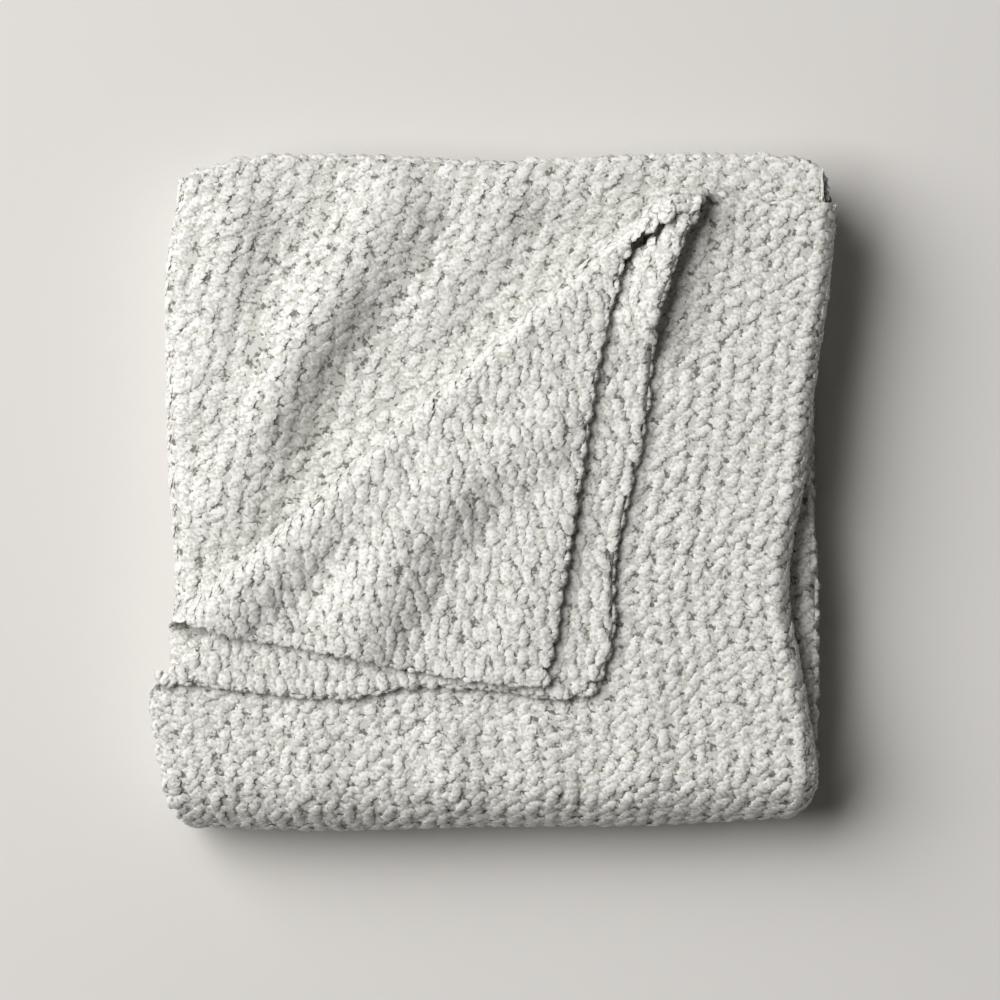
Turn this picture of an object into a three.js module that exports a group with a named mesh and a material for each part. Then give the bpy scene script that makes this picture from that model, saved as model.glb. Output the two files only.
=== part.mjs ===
// A knitted throw, folded to a square bundle, with the back left corner of its top turned over.
//
// The throw is one knitted panel. It is doubled end to end, so it is a pair of plies from there on.
// The pair is folded in three across its width (layers 1, 2 and 3, from the top), and the stack is
// doubled once more with the bend at the front: run 1 lies on top of run 2. Last, the free corner of
// layer 1 is turned over along a diagonal, so that both its plies lie on the top as two flaps.
//
// Millimetres. +X is the right of the bundle, +Y its back, +Z up. It rests on Z = 0.
//
// A point of the cloth is named by two running numbers. The whole part of each names a stretch:
//   across:  0 layer 1, 1 right fold, 2 layer 2, 3 left fold, 4 layer 3
//   along:   0 run 1, 1 front bend, 2 run 2, 3 end fold, then back again on the other ply:
//            4 run 2, 5 front bend, 6 run 1
import * as THREE from 'three';

// Cloth
const PLY_PITCH = 6.0;
const THICKNESS = 4.4;
const HALF = THICKNESS / 2;
const COLOUR = '#cfcec6';

// Heights in the stack, before it is set down on the floor
const RUN_1_MIDDLE = 9 * PLY_PITCH;
const BEND_AXIS = 6 * PLY_PITCH;
const RUN_2_MIDDLE = 3 * PLY_PITCH;
const FLOOR = PLY_PITCH / 2 - HALF;

// How far a fold's outer face stands out from the line where the cloth starts to turn
const SIDE_FOLD_REACH = 1.5 * PLY_PITCH + HALF;
const FRONT_BEND_REACH = 5.5 * PLY_PITCH + HALF;

// Run 1, if it were square: its back, and the line about which it bends at the front
const NOMINAL_BACK = 178;
const NOMINAL_FRONT_AXIS = -205 + FRONT_BEND_REACH;

// The bend draws the front corners in by this share of the width
const FRONT_DRAW_IN = 0.075;

// Lengths of layer 1 across and of run 1 along, for the rounding of the turned corner
const LAYER_LENGTH = 385;
const RUN_LENGTH = 345;

// The bundle's side lines, from the back of run 1 round the front to the back of run 2.
// along: by place, so 0 is the nominal back. right and left: outer faces of the two side folds.
// cut_1 and cut_3: the panel's two selvedges.
const SIDE_LINES = [
  { along: 0.00, right: 207, left: -197, cut_1: -204, cut_3: 186 },
  { along: 0.12, right: 204, left: -204, cut_1: -204, cut_3: 186 },
  { along: 0.30, right: 195, left: -204, cut_1: -204, cut_3: 187 },
  { along: 0.50, right: 187, left: -202, cut_1: -204, cut_3: 190 },
  { along: 0.62, right: 179, left: -199, cut_1: -204, cut_3: 194 },
  { along: 0.72, right: 179, left: -198, cut_1: -204, cut_3: 195 },
  { along: 0.84, right: 187, left: -199, cut_1: -204, cut_3: 195 },
  { along: 1.00, right: 195, left: -198, cut_1: -205, cut_3: 194 },
  { along: 2.00, right: 194, left: -197, cut_1: -200, cut_3: 190 },
  { along: 2.50, right: 195, left: -200, cut_1: -194, cut_3: 186 },
  { along: 3.00, right: 191, left: -194, cut_1: -188, cut_3: 184 },
];

// Outer face of the front bend
const FRONT_LINE = [
  { x: -200, y: -205 },
  { x: -110, y: -207 },
  { x: -20, y: -205 },
  { x: 90, y: -204 },
  { x: 190, y: -199 },
];

// Free end of run 1 in layers 2 and 3, by the running number across
const FREE_END = [
  { across: 2.00, y: 198 },
  { across: 2.06, y: 205 },
  { across: 2.25, y: 206 },
  { across: 2.50, y: 202 },
  { across: 2.70, y: 205 },
  { across: 2.90, y: 205 },
  { across: 3.00, y: 196 },
  { across: 4.00, y: 190 },
  { across: 4.15, y: 197 },
  { across: 5.00, y: 193 },
];

// Back of run 2, where the cloth turns into its end fold
const END_FOLD_LINE = [
  { x: -205, y: 184 },
  { x: -170, y: 196 },
  { x: 0, y: 197 },
  { x: 160, y: 197 },
  { x: 200, y: 188 },
];

// The turned corner, one entry for each ply of the pair, as the flap lies on the bundle.
// ridge: a point on the outer face of the fold, and the angle at which the fold runs.
// end_edge: the throw's end from the flap's corner to the fold, then on along layer 1.
// selvedge: the throw's side from the flap's corner to the fold, then on along layer 1.
const TURNED_CORNER = {
  top_ply: {
    ridge: { x: -214, y: -118, degrees: 41.9 },
    radius: 0.5 * PLY_PITCH,
    rounding: 34,
    end_edge: [
      { x: 62, y: -118 },
      { x: 70, y: -88 },
      { x: 71, y: -42 },
      { x: 79, y: -5 },
      { x: 90, y: 44 },
      { x: 97, y: 105 },
      { x: 111, y: 148 },
      { x: 117.5, y: 166 },
      { x: 125, y: 176 },
    ],
    end_in_place: [{ x: 150, y: 179 }, { x: 210, y: 177 }],
    selvedge: [
      { x: 44, y: -128 },
      { x: 2, y: -121 },
      { x: -41, y: -118 },
      { x: -102, y: -125 },
      { x: -151, y: -121 },
      { x: -184, y: -117 },
    ],
    selvedge_in_place: [{ x: -212, y: -128 }, { x: -205, y: -169 }],
  },
  under_ply: {
    ridge: { x: -184, y: -63, degrees: 40.8 },
    radius: 1.5 * PLY_PITCH,
    rounding: 16,
    end_edge: [
      { x: 30, y: -112 },
      { x: 35, y: -86 },
      { x: 41, y: -48 },
      { x: 51, y: 13 },
      { x: 63, y: 87 },
      { x: 75, y: 135 },
      { x: 82, y: 152 },
      { x: 96, y: 163 },
      { x: 107, y: 171 },
    ],
    end_in_place: [{ x: 124, y: 179 }, { x: 150, y: 175 }, { x: 210, y: 173 }],
    selvedge: [
      { x: 18, y: -118 },
      { x: -10, y: -115 },
      { x: -47, y: -109 },
      { x: -96, y: -99 },
      { x: -145, y: -90 },
      { x: -172, y: -85 },
    ],
    selvedge_in_place: [{ x: -199, y: -100 }, { x: -205, y: -169 }],
  },
};

// Soft ridges on the top, each a crest line with its height and its reach to either side.
// They lift what lies above the level from and are at full height above the level full.
const LAYER_2_LEVELS = { from: 8.6 * PLY_PITCH, full: 9.4 * PLY_PITCH };
const LAYER_1_LEVELS = { from: 9.6 * PLY_PITCH, full: 10.4 * PLY_PITCH };
const BOTH_FLAPS_LEVELS = { from: 11.7 * PLY_PITCH, full: 12.4 * PLY_PITCH };
const FLAP_LEVELS = { from: 12.6 * PLY_PITCH, full: 13.4 * PLY_PITCH };
const RIDGES = [
  {
    levels: LAYER_2_LEVELS, height: 10, reach: 40,
    crest: [[-66, 176], [-93, 132], [-126, 92], [-148, 32], [-166, -5]],
  },
  {
    levels: LAYER_2_LEVELS, height: 6, reach: 28,
    crest: [[-102, 116], [-122, 84], [-140, 48]],
  },
  {
    levels: LAYER_2_LEVELS, height: 6, reach: 28,
    crest: [[-160, 168], [-168, 115], [-180, 55]],
  },
  {
    levels: LAYER_2_LEVELS, height: 5, reach: 30,
    crest: [[70, 186], [10, 182], [-20, 186]],
  },
  {
    levels: LAYER_2_LEVELS, height: 4, reach: 26,
    crest: [[6, 178], [-16, 146], [-42, 108]],
  },
  {
    levels: LAYER_1_LEVELS, height: 2.5, reach: 24,
    crest: [[-118, -145], [-110, -200]],
  },
  {
    levels: LAYER_1_LEVELS, height: 2.5, reach: 22,
    crest: [[-32, -150], [-24, -200]],
  },
  {
    levels: LAYER_1_LEVELS, height: 2, reach: 22,
    crest: [[24, -145], [30, -195]],
  },
  {
    levels: LAYER_1_LEVELS, height: 2, reach: 24,
    crest: [[94, -110], [86, -190]],
  },
  {
    levels: BOTH_FLAPS_LEVELS, height: 11, reach: 32,
    crest: [[120, 176], [108, 146], [96, 108]],
  },
  {
    levels: FLAP_LEVELS, height: 7, reach: 30,
    crest: [[-78, 14], [-120, -30], [-168, -70]],
  },
  {
    levels: FLAP_LEVELS, height: 10, reach: 40,
    crest: [[-35, -2], [-60, -28], [-72, -56], [-82, -74]],
  },
  {
    levels: FLAP_LEVELS, height: 4, reach: 30,
    crest: [[30, 40], [0, 20]],
  },
  {
    levels: FLAP_LEVELS, height: 2, reach: 26,
    crest: [[40, -10], [22, -60], [8, -92]],
  },
];

// How finely each stretch is divided
const STEPS_ACROSS = [12, 6, 12, 6, 3];
const STEPS_ALONG = [12, 8, 3, 4, 3, 8, 12];
const ROLL_STEPS = 4;
const LINES_BESIDE_ROLL = [10, 20, 32];
const SNAP = 0.4;
const NUDGE = 1e-3;

const lerp = THREE.MathUtils.lerp;
const smoothstep = THREE.MathUtils.smoothstep;

// A smooth curve through the rows of a table, read at one value of its key column.
function readCurve(rows, key, at, column) {
  const last = rows.length - 1;
  if (at <= rows[0][key]) return rows[0][column];
  if (at >= rows[last][key]) return rows[last][column];
  const next = rows.findIndex((row) => row[key] > at);
  const slope = (i) => {
    const before = rows[Math.max(i - 1, 0)];
    const after = rows[Math.min(i + 1, last)];
    return (after[column] - before[column]) / (after[key] - before[key]);
  };
  const low = rows[next - 1];
  const high = rows[next];
  const span = high[key] - low[key];
  const t = (at - low[key]) / span;
  const bend = (slope(next - 1) * (1 - t) - slope(next) * t) * span;
  const rise = high[column] - low[column];
  return low[column] + rise * t * t * (3 - 2 * t) + bend * t * (1 - t);
}

// The fold of one ply of the turned corner: its starting line and the direction that goes over it.
function makeFold({ ridge, radius }) {
  const angle = THREE.MathUtils.degToRad(ridge.degrees);
  const over = new THREE.Vector2(-Math.sin(angle), Math.cos(angle));
  const start = new THREE.Vector2(ridge.x, ridge.y).addScaledVector(over, -(radius + HALF));
  return { over, start, radius };
}

// How far a point of the flat layer lies beyond the line where the fold starts.
function beyondFold(fold, x, y) {
  return (x - fold.start.x) * fold.over.x + (y - fold.start.y) * fold.over.y;
}

// A point of the flap, laid back to where it was before the corner was turned.
function layBack(fold, point) {
  const reach = -beyondFold(fold, point.x, point.y);
  const move = Math.PI * fold.radius + 2 * reach;
  return { x: point.x + move * fold.over.x, y: point.y + move * fold.over.y };
}

// One ply of layer 1 in run 1: its fold and its two free edges, laid back flat.
function makeCorner(spec) {
  const fold = makeFold(spec);
  const back = (point) => layBack(fold, point);
  const end = [...spec.end_edge.map(back), ...spec.end_in_place];
  const selvedge = [...spec.selvedge.map(back), ...spec.selvedge_in_place];
  end.sort((p, q) => p.x - q.x);
  selvedge.sort((p, q) => p.y - q.y);
  return { fold, end, selvedge, rounding: spec.rounding };
}

const CORNERS = {
  top_ply: makeCorner(TURNED_CORNER.top_ply),
  under_ply: makeCorner(TURNED_CORNER.under_ply),
};

// Where a running number along the throw lies: its ply, its place on the path from the back of
// run 1 to the back of run 2, its offset from the middle of the pair, and how far past the end.
function pairPlace(along) {
  const turn = THREE.MathUtils.clamp(along - 3, 0, 1) * Math.PI;
  return {
    corner: along < 3.5 ? CORNERS.top_ply : CORNERS.under_ply,
    path: along <= 3 ? along : Math.min(7 - along, 3),
    offset: (PLY_PITCH / 2) * Math.cos(turn),
    past: (PLY_PITCH / 2) * Math.sin(turn),
  };
}

// Draws a point near the turned corner's tip in, so that the square tip becomes a round one.
function roundTip(across, path, rounding) {
  const s = Math.max(1 - (across * LAYER_LENGTH) / rounding, 0);
  const t = Math.max(1 - (path * RUN_LENGTH) / rounding, 0);
  return {
    across: across + ((s - s * Math.sqrt(1 - (t * t) / 2)) * rounding) / LAYER_LENGTH,
    path: path + ((t - t * Math.sqrt(1 - (s * s) / 2)) * rounding) / RUN_LENGTH,
  };
}

// The pair folded in three: the place across the bundle and the height from the stack's middle.
function foldInThree(across, offset, lines) {
  const right = lines.right - SIDE_FOLD_REACH;
  const left = lines.left + SIDE_FOLD_REACH;
  const stretch = Math.min(Math.floor(across), 4);
  const part = across - stretch;
  const turn = part * Math.PI;
  switch (stretch) {
    case 0:
      return { x: lerp(lines.cut_1, right, part), h: 2 * PLY_PITCH + offset };
    case 1:
      return {
        x: right + (PLY_PITCH + offset) * Math.sin(turn),
        h: PLY_PITCH + (PLY_PITCH + offset) * Math.cos(turn),
      };
    case 2:
      return { x: lerp(right, left, part), h: -offset };
    case 3:
      return {
        x: left - (PLY_PITCH - offset) * Math.sin(turn),
        h: -PLY_PITCH + (PLY_PITCH - offset) * Math.cos(turn),
      };
    default:
      return { x: lerp(left, lines.cut_3, part), h: -2 * PLY_PITCH + offset };
  }
}

// The side lines at one place on the path. In run 1 layer 1 ends at the selvedge of its own ply.
function sideLines(path, corner) {
  const read = (column) => readCurve(SIDE_LINES, 'along', path, column);
  const y = lerp(NOMINAL_BACK, NOMINAL_FRONT_AXIS, path);
  return {
    right: read('right'),
    left: read('left'),
    cut_1: path < 1 ? readCurve(corner.selvedge, 'y', y, 'x') : read('cut_1'),
    cut_3: read('cut_3'),
  };
}

// The free end of run 1 at one place across.
function freeEnd(across, x, corner) {
  if (across <= 1) return readCurve(corner.end, 'x', x, 'y');
  const layer1 = corner.end[corner.end.length - 1].y;
  const others = readCurve(FREE_END, 'across', across, 'y');
  return lerp(layer1, others, smoothstep(across, 1.7, 2));
}

// The flat stack bent double at the front.
function bendDouble(place, x, h, end) {
  const axis = readCurve(FRONT_LINE, 'x', x, 'y') + FRONT_BEND_REACH;
  if (place.path <= 1) {
    return new THREE.Vector3(x, lerp(end, axis, place.path), RUN_1_MIDDLE + h);
  }
  if (place.path < 2) {
    const turn = (place.path - 1) * Math.PI;
    const radius = RUN_1_MIDDLE - BEND_AXIS + h;
    return new THREE.Vector3(x, axis - radius * Math.sin(turn), BEND_AXIS + radius * Math.cos(turn));
  }
  const back = readCurve(END_FOLD_LINE, 'x', x, 'y');
  const y = lerp(axis, back, place.path - 2) + place.past;
  return new THREE.Vector3(x, y, RUN_2_MIDDLE - h);
}

// Draws the front corners in where the bundle bends.
function drawInFront(point) {
  const bent = Math.max(NOMINAL_FRONT_AXIS - point.y, 0) / FRONT_BEND_REACH;
  point.x *= 1 - FRONT_DRAW_IN * bent * bent;
}

// Rolls what lies beyond the fold's starting line over it, and lays the rest down as a flap.
function turnOver(fold, point) {
  const beyond = beyondFold(fold, point.x, point.y);
  if (beyond <= 0) return;
  const turn = Math.min(beyond / fold.radius, Math.PI);
  const flap = Math.max(beyond - Math.PI * fold.radius, 0);
  const move = fold.radius * Math.sin(turn) - flap - beyond;
  point.x += move * fold.over.x;
  point.y += move * fold.over.y;
  point.z += fold.radius * (1 - Math.cos(turn));
}

// The shortest distance in plan from a point to a crest line.
function distanceToCrest(crest, x, y) {
  let nearest = Infinity;
  for (let i = 1; i < crest.length; i += 1) {
    const [x0, y0] = crest[i - 1];
    const [dx, dy] = [crest[i][0] - x0, crest[i][1] - y0];
    const t = THREE.MathUtils.clamp(((x - x0) * dx + (y - y0) * dy) / (dx * dx + dy * dy), 0, 1);
    nearest = Math.min(nearest, Math.hypot(x - x0 - t * dx, y - y0 - t * dy));
  }
  return nearest;
}

// How far the soft ridges lift a point of the top.
function ridgeLift({ x, y, z }) {
  let lift = 0;
  for (const { levels, height, reach, crest } of RIDGES) {
    const share = smoothstep(z, levels.from, levels.full);
    const near = share > 0 ? Math.min(distanceToCrest(crest, x, y) / reach, 1) : 1;
    lift += share * height * (1 - near * near) ** 2;
  }
  return lift;
}

// The middle of the cloth at two running numbers, before the corner is turned.
function squareMiddle(across, along) {
  const place = pairPlace(along);
  const round = roundTip(across, place.path, place.corner.rounding);
  place.path = round.path;
  const settle = (linesAt) => {
    const lines = sideLines(linesAt, place.corner);
    const { x, h } = foldInThree(round.across, place.offset, lines);
    return bendDouble(place, x, h, freeEnd(round.across, x, place.corner));
  };
  const first = settle(place.path);
  if (place.path >= 1) return first;
  return settle((NOMINAL_BACK - first.y) / (NOMINAL_BACK - NOMINAL_FRONT_AXIS));
}

// The middle of the cloth at two running numbers.
function clothMiddle(across, along) {
  const { path, corner } = pairPlace(along);
  const point = squareMiddle(across, along);
  if (across <= 1 && path < 1) turnOver(corner.fold, point);
  drawInFront(point);
  point.z += ridgeLift(point) - FLOOR;
  return point;
}

const ACROSS_END = STEPS_ACROSS.length;
const ALONG_END = STEPS_ALONG.length;

// The direction straight out of the cloth's face.
function clothNormal(across, along) {
  const stepFrom = (value) => Math.max(value - NUDGE, 0);
  const acrossTo = Math.min(across + NUDGE, ACROSS_END);
  const alongTo = Math.min(along + NUDGE, ALONG_END);
  const sideways = clothMiddle(acrossTo, along).sub(clothMiddle(stepFrom(across), along));
  const forwards = clothMiddle(across, alongTo).sub(clothMiddle(across, stepFrom(along)));
  return forwards.cross(sideways).normalize();
}

// The running numbers at which the cloth is divided.
function divisions(steps) {
  const stops = steps.flatMap((count, stretch) =>
    Array.from({ length: count }, (_, i) => stretch + i / count));
  return [...stops, steps.length];
}

// Splits a polygon of running numbers where a field passes through a level.
function splitPolygon(polygon, field, level) {
  const values = polygon.map(([across, along]) => {
    const value = field(across, along) - level;
    return Math.abs(value) < SNAP ? 0 : value;
  });
  if (values.every((value) => value >= 0) || values.every((value) => value <= 0)) return [polygon];
  const above = [];
  const below = [];
  polygon.forEach((corner, i) => {
    const next = (i + 1) % polygon.length;
    if (values[i] >= 0) above.push(corner);
    if (values[i] <= 0) below.push(corner);
    if (values[i] * values[next] < 0) {
      const t = values[i] / (values[i] - values[next]);
      const crossing = [lerp(corner[0], polygon[next][0], t), lerp(corner[1], polygon[next][1], t)];
      above.push(crossing);
      below.push(crossing);
    }
  });
  return [above, below];
}

// Divides the panel into cells, with extra lines along the roll of the turned corner.
function panelCells() {
  const acrossStops = divisions(STEPS_ACROSS);
  const alongStops = divisions(STEPS_ALONG);
  const cells = [];
  for (let i = 1; i < acrossStops.length; i += 1) {
    for (let j = 1; j < alongStops.length; j += 1) {
      const [a0, a1] = [acrossStops[i - 1], acrossStops[i]];
      const [b0, b1] = [alongStops[j - 1], alongStops[j]];
      const topPly = [[a0, b0], [a0, b1], [a1, b1], [a1, b0]];
      const underPly = [[a0, b1], [a1, b1], [a1, b0], [a0, b0]];
      cells.push(...cutAlongRoll(b1 <= ALONG_END / 2 ? topPly : underPly));
    }
  }
  return cells;
}

// Cuts one cell of the corner along the lines where the roll of its ply bends.
function cutAlongRoll(cell) {
  const { corner, path } = pairPlace((cell[0][1] + cell[2][1]) / 2);
  const pastLayer1 = cell.some(([across]) => across > 1);
  if (pastLayer1 || path > 1) return [cell];
  const field = (across, along) => {
    const flat = squareMiddle(across, along);
    return beyondFold(corner.fold, flat.x, flat.y);
  };
  const arc = Math.PI * corner.fold.radius;
  const levels = LINES_BESIDE_ROLL.map((distance) => arc + distance);
  for (let step = 0; step <= ROLL_STEPS; step += 1) levels.push((arc * step) / ROLL_STEPS);
  let pieces = [cell];
  for (const level of levels) {
    pieces = pieces.flatMap((piece) => splitPolygon(piece, field, level));
  }
  return pieces;
}

// The whole panel as one closed solid: its two faces and the narrow wall round its four edges.
function panelGeometry() {
  const numbers = new Map();
  const stops = [];
  const numberOf = ([across, along]) => {
    const name = `${across.toFixed(6)} ${along.toFixed(6)}`;
    if (!numbers.has(name)) {
      numbers.set(name, stops.length);
      stops.push([across, along]);
    }
    return numbers.get(name);
  };
  const cells = panelCells().map((cell) => cell.map(numberOf));
  const count = stops.length;
  const triangles = [];
  const edges = new Map();
  for (const cell of cells) {
    for (let i = 2; i < cell.length; i += 1) {
      triangles.push(cell[0], cell[i - 1], cell[i]);
      triangles.push(count + cell[0], count + cell[i], count + cell[i - 1]);
    }
    cell.forEach((from, i) => edges.set(`${from} ${cell[(i + 1) % cell.length]}`, true));
  }
  for (const name of edges.keys()) {
    const [from, to] = name.split(' ').map(Number);
    if (!edges.has(`${to} ${from}`)) {
      triangles.push(to, from, count + from);
      triangles.push(to, count + from, count + to);
    }
  }
  const positions = [];
  for (const side of [HALF, -HALF]) {
    for (const [across, along] of stops) {
      const point = clothMiddle(across, along).addScaledVector(clothNormal(across, along), side);
      positions.push(point.x, point.y, point.z);
    }
  }
  const geometry = new THREE.BufferGeometry();
  geometry.setAttribute('position', new THREE.Float32BufferAttribute(positions, 3));
  geometry.setIndex(triangles);
  geometry.computeVertexNormals();
  return geometry;
}

// Sets the middle of the bundle on the origin.
function centre(geometry) {
  geometry.computeBoundingBox();
  const middle = geometry.boundingBox.getCenter(new THREE.Vector3());
  return geometry.translate(-middle.x, -middle.y, 0);
}

const wool = new THREE.MeshStandardMaterial({ color: COLOUR, roughness: 0.95, metalness: 0 });
const panel = new THREE.Mesh(centre(panelGeometry()), wool);
panel.name = 'throw_panel';

const throwBundle = new THREE.Group();
throwBundle.add(panel);

export default throwBundle;
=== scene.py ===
"""A knitted throw, folded to a square bundle with one corner of its top turned over.

The throw is one panel of marled yarn in moss stitch. Its folds are worked out from the same sizes as the
solid that it stands for: doubled end to end (a pair of plies), folded in three across (layers 1, 2 and 3
from the top), doubled once more with the bend at the front (run 1 over run 2), and last the free corner of
layer 1 is turned over as two flaps. The cloth's web is one thin closed sheet on those folds. The stitches
that show are loops of yarn that follow it, and turns of yarn close its edges and the flaps' tip.

Sizes are in millimetres, and become metres where a mesh is made. +X is right, +Y back, +Z up.
"""

import logging
import math
from dataclasses import dataclass
from enum import Enum

import bmesh
import bpy
import numpy as np
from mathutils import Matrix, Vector


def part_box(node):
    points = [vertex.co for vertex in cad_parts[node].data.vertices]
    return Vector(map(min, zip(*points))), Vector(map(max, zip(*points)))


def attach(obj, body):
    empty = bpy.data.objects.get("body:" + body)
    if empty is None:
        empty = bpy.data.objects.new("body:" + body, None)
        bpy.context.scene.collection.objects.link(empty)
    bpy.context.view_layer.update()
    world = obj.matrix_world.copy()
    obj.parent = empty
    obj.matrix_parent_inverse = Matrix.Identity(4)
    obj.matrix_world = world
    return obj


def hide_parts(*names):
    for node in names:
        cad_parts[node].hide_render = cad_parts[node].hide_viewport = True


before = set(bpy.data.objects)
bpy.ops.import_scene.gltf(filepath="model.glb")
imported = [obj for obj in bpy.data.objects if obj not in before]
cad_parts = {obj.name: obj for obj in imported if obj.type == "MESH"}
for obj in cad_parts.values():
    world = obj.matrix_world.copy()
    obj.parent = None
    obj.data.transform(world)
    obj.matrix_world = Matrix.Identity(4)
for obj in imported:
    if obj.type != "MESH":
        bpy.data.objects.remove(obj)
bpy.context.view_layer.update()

LOG = logging.getLogger("throw")
NODE = "throw_panel"
BODY = "root"
METRE = 0.001
SEED = 20

# Running numbers of the sheet: its ends across and along, the start of its end fold, and the middle of that
# fold, where the top ply goes over into the under ply.
ACROSS_END = 5.0
ALONG_END = 7.0
END_FOLD = 3.0
PLY_CHANGE = 3.5
ACROSS_STOPS = np.arange(ACROSS_END + 1)
PATH_STOPS = (0.0, 1.0, 2.0, END_FOLD, PLY_CHANGE)

# Fuzz fades out towards the yarn's back between these, as the dot of the yarn's normal and the cloth's.
FUZZ_FADE = (-0.9, -0.3)

Array = np.ndarray
Point = tuple[float, float]
Line = tuple[Point, ...]


class Ply(Enum):
    """The two plies of the doubled throw."""

    TOP = "top"
    UNDER = "under"


class Face(Enum):
    """The two faces of the cloth: the one that the folds turn out, and the other."""

    OUT = 1
    IN = -1


def lerp(low: Array, high: Array, share: Array) -> Array:
    """Goes from low to high by a share."""
    return low + (high - low) * share


def smoothstep(value: Array, low: float, high: float) -> Array:
    """Rises smoothly from 0 at low to 1 at high."""
    share = np.clip((value - low) / (high - low), 0.0, 1.0)
    return share * share * (3.0 - 2.0 * share)


def unit(vectors: Array) -> Array:
    """Scales vectors to length 1."""
    return vectors / np.maximum(np.linalg.norm(vectors, axis=-1, keepdims=True), 1e-9)


def whole_sheet(counts: tuple[int, int]) -> tuple[Array, Array]:
    """Spreads places evenly over the sheet.

    Args:
        counts: how many places across and along.

    Returns:
        Running numbers across and along of all the places.
    """
    across, along = np.meshgrid(np.linspace(0, ACROSS_END, counts[0]), np.linspace(0, ALONG_END, counts[1]))
    return across.ravel(), along.ravel()


@dataclass(frozen=True)
class Curve:
    """A smooth curve through a few points, level beyond its ends."""

    at: tuple[float, ...]
    value: tuple[float, ...]

    def __call__(self, where: Array) -> Array:
        """Reads the curve.

        Args:
            where: places along the curve's key.

        Returns:
            The curve's value at each place.
        """
        at, value = np.array(self.at), np.array(self.value)
        before = np.r_[0, np.arange(len(at) - 1)]
        after = np.r_[np.arange(1, len(at)), len(at) - 1]
        slope = (value[after] - value[before]) / (at[after] - at[before])
        where = np.clip(where, at[0], at[-1])
        high = np.clip(np.searchsorted(at, where, side="right"), 1, len(at) - 1)
        low = high - 1
        span = at[high] - at[low]
        t = (where - at[low]) / span
        bend = (slope[low] * (1 - t) - slope[high] * t) * span
        rise = value[high] - value[low]
        return value[low] + rise * t * t * (3 - 2 * t) + bend * t * (1 - t)


def smooth_line(knots: Array, steps: int) -> Array:
    """Lays a smooth line through knots.

    Args:
        knots: one a row, with a column for each value.
        steps: number of steps of the line.

    Returns:
        The line's values, one row more than there are steps.
    """
    at = tuple(range(len(knots)))
    where = np.linspace(0, at[-1], steps + 1)
    return np.column_stack([Curve(at, tuple(column))(where) for column in knots.T])


@dataclass(frozen=True)
class Ridge:
    """A soft ridge on the top: a crest line, its height, and its reach to either side."""

    height: float
    reach: float
    level_from: float
    level_full: float
    crest: Line

    def lift(self, place: Array) -> Array:
        """Works out how far the ridge lifts each point of the top.

        Args:
            place: points, one a row.

        Returns:
            The lift of each point.
        """
        crest = np.array(self.crest)
        nearest = np.full(len(place), np.inf)
        for start, end in zip(crest[:-1], crest[1:]):
            run = end - start
            t = np.clip(((place[:, :2] - start) @ run) / (run @ run), 0.0, 1.0)
            away = place[:, :2] - start - t[:, None] * run
            nearest = np.minimum(nearest, np.hypot(away[:, 0], away[:, 1]))
        near = np.minimum(nearest / self.reach, 1.0)
        share = smoothstep(place[:, 2], self.level_from, self.level_full)
        return share * self.height * (1 - near * near) ** 2


@dataclass(frozen=True)
class TurnedPly:
    """One ply of the turned corner, as the flap lies on the bundle.

    ridge_at and ridge_degrees place the outer face of the fold. end_edge and selvedge run from the flap's
    corner to the fold, and the _in_place points carry them on along layer 1.
    """

    ridge_at: Point
    ridge_degrees: float
    radius: float
    half: float
    rounding: float
    end_edge: Line
    end_in_place: Line
    selvedge: Line
    selvedge_in_place: Line

    @property
    def over(self) -> Array:
        """The direction in plan that goes over the fold."""
        angle = math.radians(self.ridge_degrees)
        return np.array([-math.sin(angle), math.cos(angle)])

    def beyond(self, x: Array, y: Array) -> Array:
        """Measures how far points of the flat layer lie beyond the line where the fold starts.

        Args:
            x: places to the right.
            y: places to the back.

        Returns:
            The distances, below 0 where the layer stays flat.
        """
        over = self.over
        start = np.array(self.ridge_at) - over * (self.radius + self.half)
        return (x - start[0]) * over[0] + (y - start[1]) * over[1]

    def lay_back(self, points: Line) -> list[Point]:
        """Lays points of the flap back to where they were before the corner was turned.

        Args:
            points: points of the flap, in plan.

        Returns:
            The points in the flat layer.
        """
        flap = np.array(points)
        move = math.pi * self.radius - 2 * self.beyond(flap[:, 0], flap[:, 1])
        return [tuple(point) for point in flap + move[:, None] * self.over]

    def end_curve(self) -> Curve:
        """Gives the throw's end in layer 1, y by x."""
        points = sorted(self.lay_back(self.end_edge) + list(self.end_in_place))
        return Curve(tuple(p[0] for p in points), tuple(p[1] for p in points))

    def selvedge_curve(self) -> Curve:
        """Gives the throw's side in layer 1, x by y."""
        points = sorted(self.lay_back(self.selvedge) + list(self.selvedge_in_place), key=lambda p: p[1])
        return Curve(tuple(p[1] for p in points), tuple(p[0] for p in points))

    def turn_over(self, place: Array) -> Array:
        """Rolls what lies beyond the fold over it, and lays the rest down as a flap.

        Args:
            place: points of the flat layer, one a row.

        Returns:
            The points where they lie after the turn.
        """
        beyond = np.maximum(self.beyond(place[:, 0], place[:, 1]), 0.0)
        turn = np.minimum(beyond / self.radius, math.pi)
        flap = np.maximum(beyond - math.pi * self.radius, 0.0)
        move = self.radius * np.sin(turn) - flap - beyond
        lift = self.radius * (1 - np.cos(turn))
        return place + np.column_stack([move[:, None] * self.over, lift])


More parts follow.
